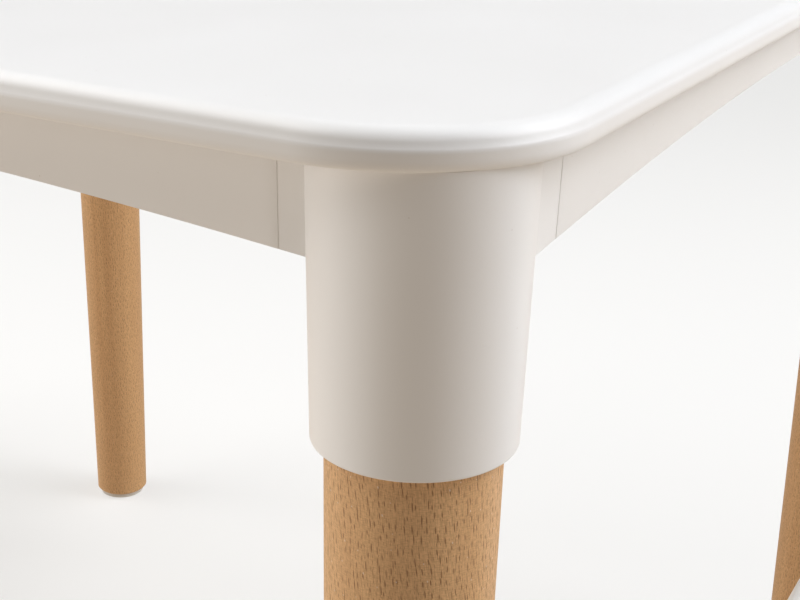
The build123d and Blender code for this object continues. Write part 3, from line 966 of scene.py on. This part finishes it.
def screw_recipe():
    r = Recipe("cross_recess_screws", Head_radius=0.0034, Head_height=0.0022, Shank_radius=0.00172,
               Reach=APRON_SCREW_REACH)
    head_r, head_h = r.given("Head_radius"), r.given("Head_height")
    collar_h = head_h * COLLAR_SHARE
    dome_h = head_h - collar_h
    collar = r.cone(head_r, head_r, collar_h, HEAD_SIDES, closed=False)
    dome = r.cone(head_r * FACE_SHARE, head_r, dome_h, HEAD_SIDES, closed=False)
    face = r.disc(head_r * FACE_SHARE, HEAD_SIDES, facing_up=False)
    seat = r.disc(head_r, HEAD_SIDES)
    bottom = head_h * -1.0
    head = r.welded(r.place(face, r.up(bottom)), r.place(dome, r.up(bottom)),
                    r.place(collar, r.up(collar_h * -1.0)), seat)
    arm = r.place(r.box(head_r, head_r * SLOT_SHARE, head_h), r.up(bottom))
    cross = r.boolean("UNION", arm, r.place(arm, rotation=(0, 0, math.pi / 2)))
    head = r.boolean("DIFFERENCE", head, cross)
    shank = r.cone(r.given("Shank_radius"), r.given("Shank_radius") * 0.9, r.given("Reach"), 16)
    return r.end(r.scatter(r.join(head, shank)), steel)


cross_screws = screw_recipe()


def ring_spots(centres, radius, angles, height):
    """Screw places round each leg axis. They mirror from corner to corner, as the sockets do."""
    middle_x = sum(c.x for c in centres) / len(centres)
    spots = []
    for c in centres:
        side_x, side_y = math.copysign(1, c.x - middle_x), math.copysign(1, -c.y)
        for angle in map(math.radians, angles):
            out_x, out_y = side_x * radius * math.cos(angle), side_y * radius * math.sin(angle)
            spots.append((c.x + out_x, c.y + out_y, height))
    return spots


def make_screws(node, body, spots, reach):
    screws = grow(cross_screws, node.replace("screws", "cross_screws"), spots, Reach=reach)
    return settle(screws, body, steel, "zinc_steel", node)


apron_screw_spots = []
for turn_z in APRON_TURNS.values():
    line = apron_faces[turn_z] + APRON_T + FLANGE_W / 2
    for x in (-APRON_SCREW_AT, 0, APRON_SCREW_AT):
        apron_screw_spots.append(about_z(turn_z) @ Vector((x, line, plate_z - FLANGE_T)))
make_screws("apron_screws", "table", apron_screw_spots, APRON_SCREW_REACH)
socket_cap_z = lip_z - SOCKET_CAP_T
table_spots = ring_spots(list(socket_centres.values()), TABLE_RING_R, (30, 150, 270), socket_cap_z)
make_screws("table_socket_screws", "table", table_spots, TABLE_SCREW_REACH)
print("table screws:", len(apron_screw_spots) + len(table_spots))

# %% [markdown]
# ## Chairs
# A chair is made the same way as the table, at a smaller size: a moulded seat with the same edge and a
# shallow hollow, skirts between the sockets, and a back that grows out of the seat. Both chairs are
# built from the same functions. `facing` is 1 for the chair on the right, whose back is on its +X
# side, and -1 for the one on the left, which is turned by half a turn.

# %% Seat measures
SEAT_T = 5.0 * MM
SEAT_CORNER_R = 50.0 * MM
DISH, DISH_SPAN = 7.0 * MM, 122.0 * MM
SEAT_SIZE = 300.0 * MM
CHAIR_SOCKET_TOP_R, CHAIR_SOCKET_MOUTH_R = 22.5 * MM, 21.0 * MM
CHAIR_BORE_R, CHAIR_CAP_T = 17.6 * MM, 11.0 * MM
SKIRT_INSET, SKIRT_DEPTH, SKIRT_ARCH, SKIRT_T = 12.0 * MM, 20.0 * MM, 8.0 * MM, 3.0 * MM
SKIRT_GAP = 0.4 * MM
chair_legs_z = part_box("right_chair_socket_front_left")
seat_lip_z = chair_legs_z[1].z
chair_mouth_z = chair_legs_z[0].z
seat_z = seat_lip_z + LIP_DEPTH
seat_plate_z = seat_z - SEAT_T


def dished(point):
    """Sinks a point of the seat by the depth of its hollow."""
    share = min(1.0, math.hypot(point.x, point.y) / DISH_SPAN)
    sink = DISH * (math.cos(share * math.pi) + 1) / 2
    return Vector((point.x, point.y, point.z - sink))


print("seat rim at", round(seat_z, 3), "m")

# %% [markdown]
# ### The chair's back
# Seen from the front the back has sides that bow outwards, round top corners and a shallow crown. Its
# outline is a flat shape first. Then every point is bent: forwards with the curve of the back, backwards
# with its lean, and forwards again close to the seat, where the real moulding runs out in a fillet.

# %% Back outline and bend
BACK_W, BACK_T = 270.0 * MM, 6.0 * MM
BACK_SIDE_R, BACK_CROWN_R, BACK_CORNER_R = 850.0 * MM, 650.0 * MM, 60.0 * MM
BACK_WIDEST_Z, BACK_TOP_Z = 430.0 * MM, 545.0 * MM
BACK_CURVE_R, BACK_LEAN, BACK_SET_IN = 300.0 * MM, math.radians(9.0), 9.0 * MM
FILLET_R = 20.0 * MM
BACK_HEEL = 0.12            # the rear face runs out by this share of the front's fillet
back_base_z = seat_z - 2.5 * MM


def half_width(z):
    """Half the width of the back at a height, before its top corners are rounded."""
    return BACK_W / 2 - BACK_SIDE_R + math.sqrt(BACK_SIDE_R ** 2 - (z - BACK_WIDEST_Z) ** 2)


def crown(y):
    return BACK_TOP_Z - BACK_CROWN_R + math.sqrt(BACK_CROWN_R ** 2 - y ** 2)


def back_outline():
    """(point, outward direction) pairs in the plane of the back, about its middle height."""
    z = BACK_TOP_Z - BACK_CORNER_R
    for _ in range(40):
        y = half_width(z) - BACK_CORNER_R
        gap = math.hypot(y, z - (BACK_TOP_Z - BACK_CROWN_R))
        z += (BACK_CROWN_R - BACK_CORNER_R - gap) * 0.8
    corner_y, corner_z = half_width(z) - BACK_CORNER_R, z
    heights = [back_base_z + (corner_z - back_base_z) * i / 34 for i in range(34)]
    right = [(half_width(h), h) for h in heights]
    corner_arc = arc(corner_y, corner_z, BACK_CORNER_R, BACK_CORNER_R, 0, 84, 22)
    start = corner_arc[-1][0]
    top = [(start * (1 - i / 10), crown(start * (1 - i / 10))) for i in range(1, 11)]
    half = right + corner_arc + top
    base = [(half_width(back_base_z) * (i / 12), back_base_z) for i in range(-11, 12)]
    loop = half + [(-y, z) for y, z in reversed(half[:-1])] + base
    outline = []
    for i, (y, z) in enumerate(loop):
        before, after = Vector(loop[i - 1]), Vector(loop[(i + 1) % len(loop)])
        along = (after - before).normalized()
        outline.append((Vector((y, z)), Vector((along.y, -along.x))))
    return outline


def bend_back(point):
    """point is (across, height from the middle, depth); returns it on the curved, leaning back."""
    y, z, depth = point.x, point.y, point.z
    rise = z - seat_z
    forward = BACK_CURVE_R - math.sqrt(BACK_CURVE_R ** 2 - y ** 2)
    run_out = 0.0
    if rise < FILLET_R:
        drop = FILLET_R - max(rise, 0)
        run_out = FILLET_R - math.sqrt(max(FILLET_R ** 2 - drop ** 2, 0))
    frontness = 0.5 - depth / BACK_T
    run_out *= frontness - BACK_HEEL * (1 - frontness)
    x = SEAT_SIZE / 2 - BACK_SET_IN + BACK_T / 2 + depth - forward - run_out + rise * math.tan(BACK_LEAN)
    return Vector((x, y, z))


def back_shell():
    outline = back_outline()
    middle_z = (back_base_z + BACK_TOP_Z) / 2
    centred = [(p - Vector((0, middle_z)), way) for p, way in outline]
    half_t = BACK_T / 2
    edge = [(half_t - run, depth) for run, depth in arc(0, 0, half_t, half_t, -90, 90, 8)]
    sizes = [1 - (i / 26) ** 1.35 for i in range(1, 26)]
    points, faces = slab_shell(centred, edge, sizes)
    return [bend_back(Vector((p.x, p.y + middle_z, p.z))) for p in points], faces


print("back outline:", len(back_outline()), "points")

# %% [markdown]
# ### One chair
# The seat, its bosses, skirts and back go into one piece, because the real chair has one moulding. The
# skirts stop at the sockets. The legs, sockets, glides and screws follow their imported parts.

# %% Chair shell
CHAIR_SHRINK = [1 - 0.05 * i for i in range(1, 20)]


def chair_matrix(body, facing):
    """Takes a chair that faces -X at the origin to its place."""
    legs = [middle(n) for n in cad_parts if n.startswith(f"{body}_leg_")]
    centre_x = sum(c.x for c in legs) / len(legs)
    return about_z(0 if facing > 0 else 180, (centre_x, 0, 0)), legs


def chair_shell(body, facing):
    matrix, legs = chair_matrix(body, facing)
    edge = slab_edge(seat_z, SEAT_T)
    seat = slab_shell(rounded_square(SEAT_SIZE / 2, SEAT_CORNER_R, 24, 10), edge, CHAIR_SHRINK, dished)
    leg_out = abs(legs[0].y)
    face = -(SEAT_SIZE / 2 - SKIRT_INSET)
    reach = leg_out - math.sqrt(CHAIR_SOCKET_TOP_R ** 2 - (leg_out + face) ** 2) - SKIRT_GAP
    corner = (leg_out, seat_lip_z - SKIRT_DEPTH)
    shells = [seat, back_shell()]
    for quarter in range(4):
        skirt = arched_panel(-reach, reach, face, SKIRT_T, seat_plate_z + 1 * MM, corner, SKIRT_ARCH)
        shells.append(moved(skirt, about_z(90 * quarter)))
    for side_x in (-1, 1):
        for side_y in (-1, 1):
            centre = Vector((side_x * leg_out, side_y * leg_out, 0))
            shells.append(boss(CHAIR_SOCKET_MOUTH_R, seat_plate_z, seat_lip_z, centre))
    shell = add_piece(f"{body}_seat_moulding", [moved(s, matrix) for s in shells])
    return settle(shell, body, plastic, "white_plastic", f"{body}_seat_shell")


for body, facing in CHAIRS.items():
    shell = chair_shell(body, facing)
    print(shell.name, len(shell.data.polygons), "faces")

# %% [markdown]
# ### What a chair stands on
# The sockets, legs, glides and screws are the table's own functions with a chair's sizes.

# %% Chair sockets, legs, glides and screws
CHAIR_FOOT_R, CHAIR_LEG_R = 14.0 * MM, 17.5 * MM
CHAIR_RING_R, CHAIR_SCREW_REACH = 11.5 * MM, 16.0 * MM
chair_cap_z = seat_lip_z - CHAIR_CAP_T
chair_cup = cup_profile((CHAIR_SOCKET_TOP_R, seat_lip_z), (CHAIR_SOCKET_MOUTH_R, chair_mouth_z),
                        CHAIR_BORE_R, chair_cap_z)
for body in CHAIRS:
    centres = []
    for name in CORNERS:
        centre = middle(f"{body}_leg_{name}")
        centres.append(centre)
        cup = add_piece(f"{body}_socket_cup_{name}", [lathe(chair_cup, centre, 96)])
        settle(cup, body, plastic, "white_plastic", f"{body}_socket_{name}")
        make_leg(f"{body}_leg_{name}", body, CHAIR_FOOT_R, CHAIR_LEG_R, chair_mouth_z)
        make_glide(f"{body}_glide_{name}", body)
    spots = ring_spots(centres, CHAIR_RING_R, (45, 225), chair_cap_z)
    make_screws(f"{body}_socket_screws", body, spots, CHAIR_SCREW_REACH)

# %% [markdown]
# ## Hidden hardware
# The bolts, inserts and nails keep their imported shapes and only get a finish.

# %% Hardware finishes
for name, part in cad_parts.items():
    if name.endswith(("hanger_bolts", "glide_nails")):
        part.data.materials.clear()
        part.data.materials.append(steel)
    elif name.endswith("inserts"):
        part.data.materials.clear()
        part.data.materials.append(brass)
print("hardware dressed")

# %% [markdown]
# ## Floor
# The floor is one large pale sheet, lit a little from inside, which keeps its shadows light. Further
# out it fades into a glow of the same tone as the backdrop, so no horizon shows from any side. Light
# that bounces up from it is left out, because the warm world light already stands for all bounces.

# %% Floor
FADE_FROM, FADE_TO = 1.6, 4.2
FLOOR_HALF, FLOOR_Z = 9.0, -0.2 * MM
NEAR_TONE, NEAR_GLOW = paint(0.30, 0.295, 0.29), paint(0.60, 0.60, 0.59)
sheet = [(x * FLOOR_HALF, y * FLOOR_HALF, FLOOR_Z) for x, y in ((-1, -1), (1, -1), (1, 1), (-1, 1))]
floor = add_piece("floor", [(sheet, [(0, 1, 2, 3)])])
pale = Finish("pale_floor", Roughness=0.9, Emission_Strength=1.0)
far = pale.step(pale.vector_math("LENGTH", pale.place, output="Value"), FADE_FROM, FADE_TO)
black = paint(0, 0, 0)
floor.data.materials.append(pale.wear(Base_Color=pale.blend(far, NEAR_TONE, black),
                                      Emission_Color=pale.blend(far, NEAR_GLOW, PALE)))
floor.visible_diffuse = False
floor.visible_glossy = False
print("floor:", 2 * FLOOR_HALF, "m square")
